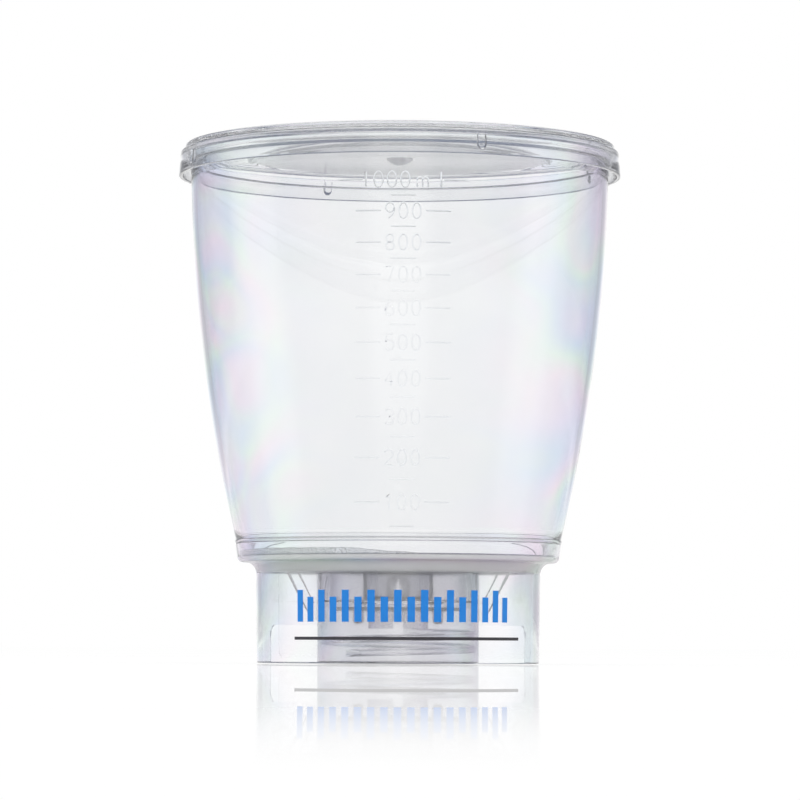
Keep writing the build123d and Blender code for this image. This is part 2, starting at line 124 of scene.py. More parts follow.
def multiplied(tree, factor, colour, tint):
    """A colour multiplied by a tint, by a factor. Returns the colour socket."""
    mix = add_node(tree, "ShaderNodeMix", data_type="RGBA", blend_type="MULTIPLY")
    tree.links.new(factor, mix.inputs["Factor"])
    tree.links.new(colour, mix.inputs["A"])
    if isinstance(tint, tuple):
        mix.inputs["B"].default_value = (*tint, 1)
    else:
        tree.links.new(tint, mix.inputs["B"])
    return mix.outputs["Result"]


def inside_zone(tree, radius, foot, top):
    """1 nearer the axis than a radius and between two heights, 0 elsewhere."""
    place = add_node(tree, "ShaderNodeTexCoord")
    flat = add_node(tree, "ShaderNodeVectorMath", operation="MULTIPLY")
    flat.inputs[1].default_value = (1, 1, 0)
    tree.links.new(place.outputs["Object"], flat.inputs[0])
    reach = add_node(tree, "ShaderNodeVectorMath", operation="LENGTH")
    tree.links.new(flat.outputs[0], reach.inputs[0])
    axes = add_node(tree, "ShaderNodeSeparateXYZ")
    tree.links.new(place.outputs["Object"], axes.inputs[0])
    near = smooth_step(tree, reach.outputs["Value"], radius, radius + 0.0004, 1.0, 0.0)
    above = smooth_step(tree, axes.outputs["Z"], foot, foot + 0.0004, 0.0, 1.0)
    below = smooth_step(tree, axes.outputs["Z"], top, top + 0.0004, 1.0, 0.0)
    return math_node(tree, "MULTIPLY", near, math_node(tree, "MULTIPLY", above, below))


def clear_plastic(
    name, tints, ior=1.59, gloss=0.0, tint_scale=40, waves=None, grain=None, painted_edge_tint=0.0, zones=()
):
    """Clear plastic. waves and grain are (scale, distance in metres) of its uneven surface.

    zones are (radius, foot, top, roughness, haze, tint): parts near the axis that are less polished, that
    scatter a share of the light, or that are tinted.
    """
    material, tree = new_material(name)
    body = add_node(tree, "ShaderNodeBsdfPrincipled", IOR=ior, Roughness=gloss)
    body.inputs["Transmission Weight"].default_value = 1.0
    noise = object_noise(tree, tint_scale)
    colour = ramp(tree, noise.outputs["Fac"], [(0.3, tints[0]), (0.7, tints[1])])
    matt, clear = gloss, 1.0
    for radius, foot, top, roughness, haze, tint in zones:
        inside = inside_zone(tree, radius, foot, top)
        matt = math_node(tree, "MAXIMUM", math_node(tree, "MULTIPLY", inside, roughness), matt)
        unscattered = math_node(tree, "SUBTRACT", 1.0, math_node(tree, "MULTIPLY", inside, haze))
        clear = math_node(tree, "MINIMUM", unscattered, clear)
        colour = multiplied(tree, inside, colour, tint)
    if zones:
        tree.links.new(matt, body.inputs["Roughness"])
        tree.links.new(clear, body.inputs["Transmission Weight"])
    if painted_edge_tint:
        # painted light: stress in the moulding shows as faint pastel bands where the wall turns away from
        # view, and the same tint is painted shade that darkens those edges
        bands = object_noise(tree, 15, detail=1.0, stretch=(1, 1, 1.6))
        cycle = math_node(tree, "FRACT", math_node(tree, "MULTIPLY", bands.outputs["Fac"], 5.0))
        hues = (
            (0.52, 0.74, 1.0), (0.82, 0.70, 1.0), (1.0, 0.75, 0.91), (0.73, 1.0, 0.81), (0.52, 0.74, 1.0),
        )
        pastel = ramp(tree, cycle, [(step / 4, hue) for step, hue in enumerate(hues)])
        edge = add_node(tree, "ShaderNodeLayerWeight", Blend=0.5)
        painted_edge_share = math_node(tree, "POWER", edge.outputs["Facing"], 1.3)
        strength = math_node(tree, "MULTIPLY", painted_edge_share, painted_edge_tint)
        colour = multiplied(tree, strength, colour, pastel)
    tree.links.new(colour, body.inputs["Base Color"])
    normal = None
    for layer in (waves, grain):
        if layer:
            bump = add_node(tree, "ShaderNodeBump", Strength=1.0, Distance=layer[1])
            tree.links.new(object_noise(tree, layer[0]).outputs["Fac"], bump.inputs["Height"])
            if normal:
                tree.links.new(normal, bump.inputs["Normal"])
            normal = bump.outputs["Normal"]
    if normal:
        tree.links.new(normal, body.inputs["Normal"])
    # light for the floor and for pieces inside passes through, so clear walls throw only a faint shadow
    through = add_node(tree, "ShaderNodeBsdfTransparent", Color=(0.95, 0.955, 0.96, 1))
    path = add_node(tree, "ShaderNodeLightPath")
    choose = add_node(tree, "ShaderNodeMixShader")
    output = add_node(tree, "ShaderNodeOutputMaterial")
    tree.links.new(path.outputs["Is Shadow Ray"], choose.inputs[0])
    tree.links.new(body.outputs[0], choose.inputs[1])
    tree.links.new(through.outputs[0], choose.inputs[2])
    tree.links.new(choose.outputs[0], output.inputs["Surface"])
    return material


def solid_plastic(name, colours, scale, rough=(0.4, 0.55), bump=None):
    """Opaque plastic, rubber or ink whose colour and gloss vary a little over the surface."""
    material, tree = new_material(name)
    body = add_node(tree, "ShaderNodeBsdfPrincipled")
    noise = object_noise(tree, scale, detail=4.0)
    shade = ramp(tree, noise.outputs["Fac"], [(0.3, colours[0]), (0.7, colours[1])])
    tree.links.new(shade, body.inputs["Base Color"])
    spread = add_node(tree, "ShaderNodeMapRange")
    spread.inputs["To Min"].default_value = rough[0]
    spread.inputs["To Max"].default_value = rough[1]
    tree.links.new(noise.outputs["Fac"], spread.inputs["Value"])
    tree.links.new(spread.outputs["Result"], body.inputs["Roughness"])
    if bump:
        relief = add_node(tree, "ShaderNodeBump", Strength=1.0, Distance=bump[1])
        tree.links.new(object_noise(tree, bump[0]).outputs["Fac"], relief.inputs["Height"])
        tree.links.new(relief.outputs["Normal"], body.inputs["Normal"])
    output = add_node(tree, "ShaderNodeOutputMaterial")
    tree.links.new(body.outputs[0], output.inputs["Surface"])
    return material


def bright_panels(tree, vector):
    """Two sockets: the studio's brightness in a direction, and how far the direction rises.

    The studio has a bright panel at every quarter turn and is darker between them.
    """
    axes = add_node(tree, "ShaderNodeSeparateXYZ")
    tree.links.new(vector, axes.inputs[0])
    azimuth = math_node(tree, "ARCTAN2", axes.outputs["X"], axes.outputs["Y"])
    wave = math_node(tree, "COSINE", math_node(tree, "MULTIPLY", azimuth, 4.0))
    return smooth_step(tree, wave, 0.05, 0.85, 0.3, 1.0), axes.outputs["Z"]


# colours of the studio from its darkest to its brightest
STUDIO = [(0.0, (0.04, 0.06, 0.13)), (0.3, (0.56, 0.57, 0.61)), (0.65, (0.80, 0.81, 0.84)), (1.0, (1, 1, 1))]


# ---------------------------------------------------------------- mesh helpers
SHARP = math.radians(50)


def new_piece(name, vertices, faces, material, smooth=True):
    mesh = bpy.data.meshes.new(name)
    mesh.from_pydata(vertices, [], faces)
    mesh.validate()
    mesh.polygons.foreach_set("use_smooth", [smooth] * len(mesh.polygons))
    mesh.set_sharp_from_angle(angle=SHARP)
    piece = bpy.data.objects.new(name, mesh)
    scene.collection.objects.link(piece)
    piece.data.materials.append(material)
    return piece


def at_turn(reach, turn, height):
    """A point at a turn from the front of the part, in degrees towards +X."""
    a = math.radians(turn)
    return (reach * math.sin(a), -reach * math.cos(a), height)


def skirt_radius(height):
    return SKIRT_FOOT_REACH + (SKIRT_TOP_REACH - SKIRT_FOOT_REACH) * height / SKIRT_HEIGHT


def skirt_patch(turns, heights, lift=0.00018, thickness=0.00004, steps=6):
    """Vertices and faces of a thin closed patch that lies on the label between two turns and heights."""
    vertices = []
    for depth in (lift, lift + thickness):
        for height in heights:
            for step in range(steps + 1):
                turn = turns[0] + (turns[1] - turns[0]) * step / steps
                vertices.append(at_turn(skirt_radius(height) + depth, turn, height))
    row = steps + 1
    faces = []
    for step in range(steps):
        faces.append((step, step + row, step + row + 1, step + 1))
        outer = 2 * row + step
        faces.append((outer, outer + 1, outer + row + 1, outer + row))
        faces.append((step, step + 1, 2 * row + step + 1, 2 * row + step))
        faces.append((row + step, 3 * row + step, 3 * row + step + 1, row + step + 1))
    for end in (0, steps):
        side = (end, 2 * row + end, 3 * row + end, row + end)
        faces.append(side if end == 0 else side[::-1])
    return vertices, faces


def joined(patches):
    vertices = []
    faces = []
    for patch_vertices, patch_faces in patches:
        start = len(vertices)
        vertices.extend(patch_vertices)
        faces.extend(tuple(start + index for index in face) for face in patch_faces)
    return vertices, faces


def closed_sweep(sections):
    """Faces of a tube through closed rings of equal length, capped at both ends."""
    count = len(sections[0])
    vertices = [point for section in sections for point in section]
    faces = []
    for ring in range(len(sections) - 1):
        for corner in range(count):
            a = ring * count + corner
            b = ring * count + (corner + 1) % count
            faces.append((a, b, b + count, a + count))
    faces.append(tuple(range(count))[::-1])
    faces.append(tuple(len(vertices) - count + corner for corner in range(count)))
    return vertices, faces


# ---------------------------------------------------------------- materials
# the funnel's pastel bands and darker turned-away walls are painted light and shade
FUNNEL = clear_plastic(
    "funnel_polystyrene", ((0.955, 0.962, 0.968), (0.975, 0.978, 0.98)), waves=(45, 0.00002), painted_edge_tint=0.9
)
# the sunken disc, and the frosted mark of the gate in its middle
LID_ZONES = (
    (0.0456, 0.0, 1.0, 0.2, 0.17, (0.985, 0.985, 0.987)),
    (0.0038, 0.0, 1.0, 0.6, 0.0, (0.8, 0.8, 0.81)),
)
LID = clear_plastic("lid_polystyrene", ((0.96, 0.965, 0.972), (0.975, 0.977, 0.98)), zones=LID_ZONES)
# what stands inside the skirt, the plate with the cup over it, and the neck, whose grey tint is painted
# shade
BASE_ZONES = (
    (0.0392, -0.01, 0.0270, 0.07, 0.0, (1, 1, 1)),
    (0.0490, 0.0264, 0.0311, 0.2, 0.4, (1, 1, 1)),
    (0.0241, -0.01, 0.0270, 0.07, 0.0, (0.88, 0.875, 0.89)),
)
# the base's pastel bands and darker turned-away walls are painted light and shade
BASE = clear_plastic(
    "base_polystyrene", ((0.955, 0.958, 0.965), (0.975, 0.976, 0.98)), waves=(60, 0.00003), painted_edge_tint=0.7,
    zones=BASE_ZONES,
)
# the clear connector's dark grey tint is painted shade for the channel under the neck
SHADED_CONNECTOR = clear_plastic(
    "connector_painted_shade", ((0.40, 0.40, 0.45), (0.46, 0.46, 0.50)), gloss=0.35, waves=(90, 0.00003)
)
LABEL = clear_plastic(
    "label_film", ((0.975, 0.977, 0.98), (0.985, 0.986, 0.988)), ior=1.45, grain=(1400, 0.000006)
)
GLUE = clear_plastic(
    "cured_glue", ((0.95, 0.95, 0.955), (0.99, 0.99, 0.99)), ior=1.5, tint_scale=500, grain=(2000, 0.0004)
)
MEMBRANE = solid_plastic(
    "membrane_polymer", ((0.90, 0.90, 0.895), (0.95, 0.95, 0.945)), 900, (0.6, 0.75), (2600, 0.00001)
)
GASKET = solid_plastic(
    "gasket_silicone", ((0.74, 0.75, 0.76), (0.8, 0.81, 0.82)), 300, (0.4, 0.5), (600, 0.00002)
)
INK_BLUE = solid_plastic("ink_blue", ((0.0, 0.21, 0.70), (0.004, 0.235, 0.74)), 700, (0.5, 0.65))
INK_DARK = solid_plastic("ink_dark", ((0.03, 0.026, 0.034), (0.05, 0.045, 0.055)), 700, (0.4, 0.55))

for node_name, material in {
    "base": BASE,
    "funnel": FUNNEL,
    "membrane": MEMBRANE,
    "glue_bead": GLUE,
    "label": LABEL,
    "neck_gasket": GASKET,
    "hose_connector": SHADED_CONNECTOR,
    "lid": LID,
}.items():
    for material_slot in nodes[node_name].material_slots:
        material_slot.material = material

# ---------------------------------------------------------------- print on the label
# A row of plain blue bars over a thin dark rule. Turns are in degrees from the front.
BAR_COUNT = 18
BAR_GAP = 0.22
BAR_WIDTH = 0.56
BAR_FOOT = 0.0120
BAR_TOPS = (0.0212, 0.0192)
PRINT_CENTRE = 2.5
PRINT_HALF = 47.2
RULE_TURNS = (-45.3, 56.2)
RULE_HEIGHTS = (0.0068, 0.0077)
bar_pitch = 2 * PRINT_HALF / BAR_COUNT
bars = []
for bar in range(BAR_COUNT):
    start = PRINT_CENTRE - PRINT_HALF + bar * bar_pitch + BAR_GAP * bar_pitch
    bars.append(skirt_patch((start, start + BAR_WIDTH * bar_pitch), (BAR_FOOT, BAR_TOPS[bar % 2])))
label_blocks = new_piece("label_blocks", *joined(bars), INK_BLUE)
label_rule = new_piece("label_rule", *skirt_patch(RULE_TURNS, RULE_HEIGHTS, steps=60), INK_DARK)
for piece in (label_blocks, label_rule):
    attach(piece, "filter")

# ---------------------------------------------------------------- rounded lines of the raised scale
# The wall and the heights of the marks follow the CAD part. Lengths in this section are in millimetres.
WALL_ARC = 515.7
WALL_WIDEST = 62.3
WALL_WIDEST_HEIGHT = 156.1
FUNNEL_WALL = 1.6
FILL_FOOT = 31.65
SLICE = 0.02
SCALE_TURN = 1.0
SCALE_LIFT = 0.01
LINE_WIDTH = 0.55
LINE_RISE = 0.06
SIGN_HALF_WIDTH = 1.2
SIGN_HALF_HEIGHT = 2.2
SIGN_PITCH = 3.8
UNIT_ROOM = 10.4
UNIT_M_INSET = 5.46
UNIT_L_INSET = 0.2
LEVEL_HALF = 3.6
LEVEL_NEAR = 10.0
LEVEL_FAR = 15.1


def wall_radius(height, inset=0.0):
    """Radius of the funnel's bowed wall at a height, taken inset inside its outer surface."""
    arc = WALL_ARC - inset
    return WALL_WIDEST - WALL_ARC + math.sqrt(arc**2 - (height - WALL_WIDEST_HEIGHT) ** 2)


def fill_heights(step, count):
    """Heights of the liquid at equal steps of volume in millilitres, summed in thin slices."""
    heights = []
    height = FILL_FOOT
    volume = 0.0
    while len(heights) < count:
        volume += math.pi * wall_radius(height, FUNNEL_WALL) ** 2 * SLICE
        height += SLICE
        # a millilitre is 1000 cubic millimetres
        if volume >= 1000 * step * (len(heights) + 1):
            heights.append(height)
    return heights


def oval(centre_x, centre_y, across, up, start, end):
    """Points along part of an oval, with angles in degrees."""
    steps = 6 + int(abs(end - start) / 18)
    turns = [math.radians(start + (end - start) * step / steps) for step in range(steps + 1)]
    return [(centre_x + across * math.cos(t), centre_y + up * math.sin(t)) for t in turns]


# each sign is a list of lines inside a box that runs from -1 to 1
SIGNS = {
    "0": [oval(0, 0, 1, 1, 0, 360)],
    "1": [[(-0.6, 0.6), (0.2, 1), (0.2, -1)]],
    "2": [oval(0, 0.45, 1, 0.55, 165, -35) + [(-1, -1), (1, -1)]],
    "3": [oval(0, 0.5, 0.9, 0.5, 150, -90), oval(0, -0.5, 1, 0.5, 90, -150)],
    "4": [[(0.45, -1), (0.45, 1), (-1, -0.4), (1, -0.4)]],
    "5": [[(0.8, 1), (-0.75, 1), (-0.85, 0.05)] + oval(-0.05, -0.35, 1.05, 0.65, 138, -150)],
    "6": [oval(0, -0.4, 1, 0.6, 0, 360), oval(0.9, -0.4, 1.9, 1.4, 105, 180)],
    "7": [[(-1, 1), (1, 1), (-0.3, -1)]],
    "8": [oval(0, 0.5, 0.85, 0.5, 0, 360), oval(0, -0.5, 1, 0.5, 0, 360)],
    "9": [oval(0, 0.4, 1, 0.6, 0, 360), oval(-0.9, 0.4, 1.9, 1.4, -75, 0)],
    "m": [
        [(-1.3, 0.3), (-1.3, -1)],
        oval(-0.65, -0.1, 0.65, 0.35, 180, 0) + [(0, -1)],
        oval(0.65, -0.1, 0.65, 0.35, 180, 0) + [(1.3, -1)],
    ],
    "l": [[(0, 1), (0, -1)]],
}


def ends(tip, inner):
    """Three close points at the end of a line, from its tip inwards."""
    size = math.dist(tip, inner)
    return [tuple(a + (b - a) * reach / size for a, b in zip(tip, inner)) for reach in (0, 0.08, 0.26)]


def scale_line(points):
    """A rounded raised line along points (across, height) on the front of the funnel."""
    sections = []
    closed = math.dist(points[0], points[-1]) < 0.01
    if not closed:
        # the ends are rounded over the last half width
        points = [*ends(points[0], points[1]), *points[1:-1], *ends(points[-1], points[-2])[::-1]]
    count = len(points)
    for index, (across, height) in enumerate(points):
        before = points[max(index - 1, 0)]
        after = points[min(index + 1, count - 1)]
        run, climb = after[0] - before[0], after[1] - before[1]
        size = math.hypot(run, climb)
        side = (-climb / size, run / size)
        if closed:
            swell = 1.0
        else:
            swell = (0.15, 0.7, 1.0)[min(index, count - 1 - index, 2)]
        section = []
        for corner in range(13):
            off = 1 - corner / 6
            spread = off * LINE_WIDTH / 2 * swell
            x, z = across + side[0] * spread, height + side[1] * spread
            reach = wall_radius(z) + SCALE_LIFT + 0.5 * (1 + math.cos(math.pi * off)) * LINE_RISE * swell
            y = -math.sqrt(reach**2 - x**2)
            a = math.radians(SCALE_TURN)
            turned_x = x * math.cos(a) - y * math.sin(a)
            turned_y = x * math.sin(a) + y * math.cos(a)
            section.append((turned_x / 1000, turned_y / 1000, z / 1000))
        sections.append(section)
    return closed_sweep(sections)


def scale_sign(sign, across, height):
    """Lines of one sign, centred at a place."""
    lines = []
    for line in SIGNS[sign]:
        points = [(across + SIGN_HALF_WIDTH * x, height + SIGN_HALF_HEIGHT * y) for x, y in line]
        lines.append(scale_line(points))
    return lines


def level_line(centre, half, height):
    return scale_line([(centre - half + half * step / 4, height) for step in range(9)])


scale_patches = []
half_heights = fill_heights(50, 20)
for index, height in enumerate(half_heights):
    if index % 2 == 0:
        scale_patches.append(level_line(0, LEVEL_HALF, height))
        continue
    signs = str(50 * (index + 1))
    full = len(signs) == 4
    row = (len(signs) - 1) * SIGN_PITCH + (UNIT_ROOM if full else 0)
    for place, sign in enumerate(signs):
        scale_patches.extend(scale_sign(sign, place * SIGN_PITCH - row / 2, height))
    if full:
        scale_patches.extend(scale_sign("m", row / 2 - UNIT_M_INSET, height))
        scale_patches.extend(scale_sign("l", row / 2 - UNIT_L_INSET, height))
    mark = LEVEL_FAR if full else LEVEL_NEAR
    scale_patches.append(level_line(-mark, LEVEL_HALF, height))
    scale_patches.append(level_line(mark, LEVEL_HALF, height))
scale_lines = new_piece("scale_lines", *joined(scale_patches), FUNNEL)
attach(scale_lines, "filter")

# ---------------------------------------------------------------- funnel
# A clear moulding shows every facet, so the funnel and the lid are turned here with fine curves. Their
# sections follow the CAD part. Lengths in this section are in millimetres.
SPIGOT_FOOT = 31.7
JOINT = 35.35
BAND_TOP = 36.35
RIM_BAND_FOOT = 143.4
RIM_BAND_RISE = 0.25
RIM_UNDERSIDE = 148.2
RIM_TOP = 150.3
RIM_REACH = 63.5
FUNNEL_STEPS = 480


def rounded_corner(before, corner, after, rounding, steps=4):
    """Points of the arc that rounds a corner of an outline."""
    into = Vector(before) - Vector(corner)
    out = Vector(after) - Vector(corner)
    half = into.angle(out) / 2
    centre = Vector(corner) + (into.normalized() + out.normalized()).normalized() * rounding / math.sin(half)
    reach = rounding / math.tan(half)
    start = Vector(corner) + into.normalized() * reach - centre
    end = Vector(corner) + out.normalized() * reach - centre
    turn = start.angle_signed(end)
    points = []
    for step in range(steps + 1):
        a = -turn * step / steps
        points.append((
            centre.x + start.x * math.cos(a) - start.y * math.sin(a),
            centre.y + start.x * math.sin(a) + start.y * math.cos(a),
        ))
    return points


def turned_moulding(name, rings, material):
    """A smooth piece through rings of points that go round the axis and meet."""
    vertices, faces = closed_sweep([*rings, rings[0]])
    piece = new_piece(name, vertices, faces[:-2], material)
    mesh = bmesh.new()
    mesh.from_mesh(piece.data)
    bmesh.ops.remove_doubles(mesh, verts=mesh.verts, dist=1e-7)
    bmesh.ops.recalc_face_normals(mesh, faces=mesh.faces)
    mesh.to_mesh(piece.data)
    mesh.free()
    piece.data.set_sharp_from_angle(angle=SHARP)
    return piece


def wall_points(foot, top, inset=0.0, count=36):
    """Points up the funnel's bowed wall between two heights."""
    heights = [foot + (top - foot) * step / count for step in range(1, count)]
    return [(wall_radius(height, inset), height, 0) for height in heights]


# corners of the section as (radius, height, rounding), from the foot up the outside and down the inside
FUNNEL_CORNERS = (
    (wall_radius(SPIGOT_FOOT, FUNNEL_WALL), SPIGOT_FOOT, 0.1), (46.5, SPIGOT_FOOT, 0.15), (47.1, JOINT, 0.1),
    (48.35, JOINT, 0.12), (48.5, BAND_TOP, 0.1), (wall_radius(BAND_TOP), BAND_TOP, 0.1),
    *wall_points(BAND_TOP, RIM_BAND_FOOT), (wall_radius(RIM_BAND_FOOT), RIM_BAND_FOOT, 2.0),
    (wall_radius(RIM_BAND_FOOT) + RIM_BAND_RISE, 145.9, 2.0),
    (wall_radius(RIM_UNDERSIDE) + RIM_BAND_RISE, RIM_UNDERSIDE, 0.5),
    (RIM_REACH, RIM_UNDERSIDE, 0.4), (RIM_REACH, RIM_TOP, 0.6),
    (wall_radius(RIM_TOP, FUNNEL_WALL), RIM_TOP, 0.6),
    *wall_points(SPIGOT_FOOT, RIM_TOP, FUNNEL_WALL)[::-1],
)
funnel_outline = []
for index, (reach, height, rounding) in enumerate(FUNNEL_CORNERS):
    if rounding:
        before, after = FUNNEL_CORNERS[index - 1], FUNNEL_CORNERS[(index + 1) % len(FUNNEL_CORNERS)]
        funnel_outline.extend(rounded_corner(before[:2], (reach, height), after[:2], rounding))
    else:
        funnel_outline.append((reach, height))
funnel_rings = []
for step in range(FUNNEL_STEPS):
    turn = 360 / FUNNEL_STEPS * step
    funnel_rings.append([at_turn(reach / 1000, turn, height / 1000) for reach, height in funnel_outline])
funnel_moulding = turned_moulding("funnel_moulding", funnel_rings, FUNNEL)
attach(funnel_moulding, "filter")
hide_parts("funnel")

# ---------------------------------------------------------------- lid
# Its four ribs are rounded swellings of the skirt. Lengths in this section are in millimetres.
LID_UNDERSIDE = 150.35
LID_DISC = 151.45
LID_LEDGE = 150.4
DIMPLE_RADIUS = 4.0
DIMPLE_DEPTH = 2.0
DIMPLE_STEPS = 12
SKIRT_STEPS = 30
RIB_TURNS = (21.0, 111.0, 201.0, 291.0)
RIB_FOOT = 146.1
RIB_HALF = 1.35
RIB_RISE = 0.8
# corners of the section as (radius, height, rounding), from the axis over the top and back underneath
LID_CORNERS = (
    (43.9, LID_DISC, 0.3), (44.15, 152.8, 0.3), (62.0, 152.8, 0.3), (62.5, 153.8, 0.45), (64.0, 153.8, 0.6),
    (64.2, 152.0, 0.25), (65.3, 151.7, 0.5), (65.8, 144.5, 0.3), (64.7, 144.5, 0.3), (64.2, LID_LEDGE, 0.4),
    (62.9, LID_LEDGE, 0.3), (62.8, 151.7, 0.3), (45.2, 151.7, 0.3), (44.95, LID_UNDERSIDE, 0.3),
)


def dimple_dish(height):
    """Points of the dished dimple in the middle of the lid, from the axis outwards."""
    sphere = (DIMPLE_RADIUS**2 + DIMPLE_DEPTH**2) / (2 * DIMPLE_DEPTH)
    points = []
    for step in range(DIMPLE_STEPS + 1):
        reach = DIMPLE_RADIUS * step / DIMPLE_STEPS
        points.append((reach, height - math.sqrt(sphere**2 - reach**2) + sphere - DIMPLE_DEPTH))
    return points


def lid_section():
    """The lid's section from the axis over the top and back underneath to the axis."""
    outline = dimple_dish(LID_DISC)
    places = [(0, LID_DISC), *[corner[:2] for corner in LID_CORNERS], (0, LID_UNDERSIDE)]
    for index, (_, _, rounding) in enumerate(LID_CORNERS):
        arc = rounded_corner(places[index], places[index + 1], places[index + 2], rounding)
        if arc[0][0] > 64 and arc[0][1] > LID_LEDGE - 1 and outline[-1][1] < 146:
            # the inside of the skirt, in short steps so that the ribs can swell from it
            foot = outline[-1]
            for step in range(1, SKIRT_STEPS):
                share = step / SKIRT_STEPS
                reach = foot[0] + (arc[0][0] - foot[0]) * share
                outline.append((reach, foot[1] + (arc[0][1] - foot[1]) * share))
        outline.extend(arc)
    return outline + dimple_dish(LID_UNDERSIDE)[::-1]


def rib_swell(turn, reach, height):
    """How far a rib stands in from the skirt's inside at a place."""
    if not 63.9 < reach < 64.9 or height > LID_LEDGE + 0.1:
        return 0.0
    across = min(abs((turn - rib + 180) % 360 - 180) for rib in RIB_TURNS)
    across = math.radians(across) * reach
    below = max(0.0, RIB_FOOT + RIB_HALF - height)
    off = math.hypot(across, below) / RIB_HALF
    return RIB_RISE * math.sqrt(max(0.0, 1 - off**4))


# the lid's rings are close together across a rib and wider apart between ribs, with spans in degrees
RIB_SPAN = 1.4
RIB_STEPS = 36
GAP_SPAN = 87.2
GAP_STEPS = 116
lid_turns = []
for rib_turn in RIB_TURNS:
    lid_turns.extend(rib_turn - RIB_SPAN + 2 * RIB_SPAN * step / RIB_STEPS for step in range(RIB_STEPS + 1))
    lid_turns.extend(rib_turn + RIB_SPAN + GAP_SPAN * step / GAP_STEPS for step in range(1, GAP_STEPS))
lid_turns.sort()
lid_outline = lid_section()
lid_rings = []
for turn in lid_turns:
    lid_rings.append([
        at_turn((reach - rib_swell(turn, reach, height)) / 1000, turn, height / 1000)
        for reach, height in lid_outline
    ])
lid_moulding = turned_moulding("lid_moulding", lid_rings, LID)
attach(lid_moulding, "lid")
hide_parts("lid")

# ---------------------------------------------------------------- neck thread
THREAD_TURNS = 1.6
THREAD_START_TURN = -40
THREAD_START_HEIGHT = 0.0030
THREAD_TAPER = 18
THREAD_STEPS = 230
thread_rings = []
for step in range(THREAD_STEPS + 1):
    along = step / THREAD_STEPS
    taper = min(1.0, along * THREAD_TAPER, (1 - along) * THREAD_TAPER)
    crest = THREAD_ROOT - (THREAD_ROOT - THREAD_CREST) * (0.03 + 0.97 * math.sin(taper * math.pi / 2))
    turn = 360 * THREAD_TURNS * along + THREAD_START_TURN
    middle = THREAD_START_HEIGHT + THREAD_PITCH * THREAD_TURNS * along
    profile = (
        (THREAD_ROOT, -0.0011),
        (THREAD_ROOT - 0.4 * (THREAD_ROOT - crest), -0.00085),
        (crest, -0.0004),
        (crest, 0.0004),
        (THREAD_ROOT - 0.4 * (THREAD_ROOT - crest), 0.00085),
        (THREAD_ROOT, 0.0011),
    )
    thread_rings.append([at_turn(reach, turn, middle + rise) for reach, rise in profile])
neck_thread = new_piece("neck_thread", *closed_sweep(thread_rings), BASE)
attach(neck_thread, "filter")

# ---------------------------------------------------------------- glue squeezed up round the funnel's foot
# height of the glue's upper edge in millimetres, at turns from the front in degrees
GLUE_TOP = (
    (-180, 31.6), (-130, 32.3), (-88, 32.8), (-50, 33.4), (-20, 33.3), (0, 32.2),
    (15, 31.0), (45, 30.6), (90, 30.6), (130, 31.4), (180, 31.6),
)
GLUE_STEPS = 480
GLUE_INNER = 0.04656
GLUE_OUTER = 0.04694
GLUE_FOOT = 0.03028
GLUE_BEND = 0.0317
GLUE_LEAN = 0.166
GLUE_UNEVEN = 0.00008


def glue_top(turn):
    """Height of the glue's upper edge at a turn, in metres."""
    for (a, low), (b, high) in zip(GLUE_TOP, GLUE_TOP[1:]):
        if a <= turn <= b:
            blend = 0.5 - 0.5 * math.cos(math.pi * (turn - a) / (b - a))
            return (low + (high - low) * blend) / 1000
    return 0.0316


glue_rings = []
for step in range(GLUE_STEPS):
    turn = -180 + 360 * step / GLUE_STEPS
    top = glue_top(turn) + random.uniform(-GLUE_UNEVEN, GLUE_UNEVEN)
    # above the funnel's foot, the gap that the glue fills leans outwards
    lean = GLUE_LEAN * max(0.0, top - GLUE_BEND)
    profile = (
        (GLUE_INNER, GLUE_FOOT), (GLUE_INNER, GLUE_BEND), (GLUE_INNER + lean, top - 0.0001),
        (0.04666 + lean, top), (0.04684 + lean, top),
        (GLUE_OUTER + lean, top - 0.0001), (GLUE_OUTER, GLUE_BEND), (GLUE_OUTER, GLUE_FOOT),
    )
    glue_rings.append([at_turn(reach, turn, height) for reach, height in profile])
glue_edge = turned_moulding("glue_edge", glue_rings, GLUE)
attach(glue_edge, "filter")
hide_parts("glue_bead")

# ---------------------------------------------------------------- floor
floor_material, tree = new_material("floor_board")
board = add_node(tree, "ShaderNodeBsdfDiffuse")
board_noise = object_noise(tree, 3)
BOARD_GREYS = [(0.3, (0.965, 0.965, 0.965)), (0.7, (0.985, 0.985, 0.985))]
tree.links.new(ramp(tree, board_noise.outputs["Fac"], BOARD_GREYS), board.inputs["Color"])
# in clear walls, the far floor takes the brightness of the studio behind it
place = add_node(tree, "ShaderNodeTexCoord")
studio = ramp(tree, bright_panels(tree, place.outputs["Object"])[0], STUDIO)
distance = add_node(tree, "ShaderNodeVectorMath", operation="LENGTH")
tree.links.new(place.outputs["Object"], distance.inputs[0])
far = smooth_step(tree, distance.outputs["Value"], 0.5, 2.5, 0.0, 1.0)
path = add_node(tree, "ShaderNodeLightPath")
beyond = math_node(tree, "MULTIPLY", far, math_node(tree, "SUBTRACT", 1.0, path.outputs["Is Camera Ray"]))
tint = add_node(tree, "ShaderNodeMix", data_type="RGBA")
tint.inputs["A"].default_value = (1, 1, 1, 1)
tree.links.new(beyond, tint.inputs["Factor"])
tree.links.new(studio, tint.inputs["B"])
lit = add_node(tree, "ShaderNodeEmission", Strength=1.0)
tree.links.new(tint.outputs["Result"], lit.inputs["Color"])
seen = math_node(tree, "ADD", path.outputs["Is Camera Ray"], path.outputs["Is Glossy Ray"], clamp=True)
seen = math_node(tree, "ADD", seen, path.outputs["Is Transmission Ray"], clamp=True)
pale = add_node(tree, "ShaderNodeMixShader")
tree.links.new(math_node(tree, "MULTIPLY", seen, 0.8), pale.inputs[0])
tree.links.new(board.outputs[0], pale.inputs[1])
tree.links.new(lit.outputs[0], pale.inputs[2])
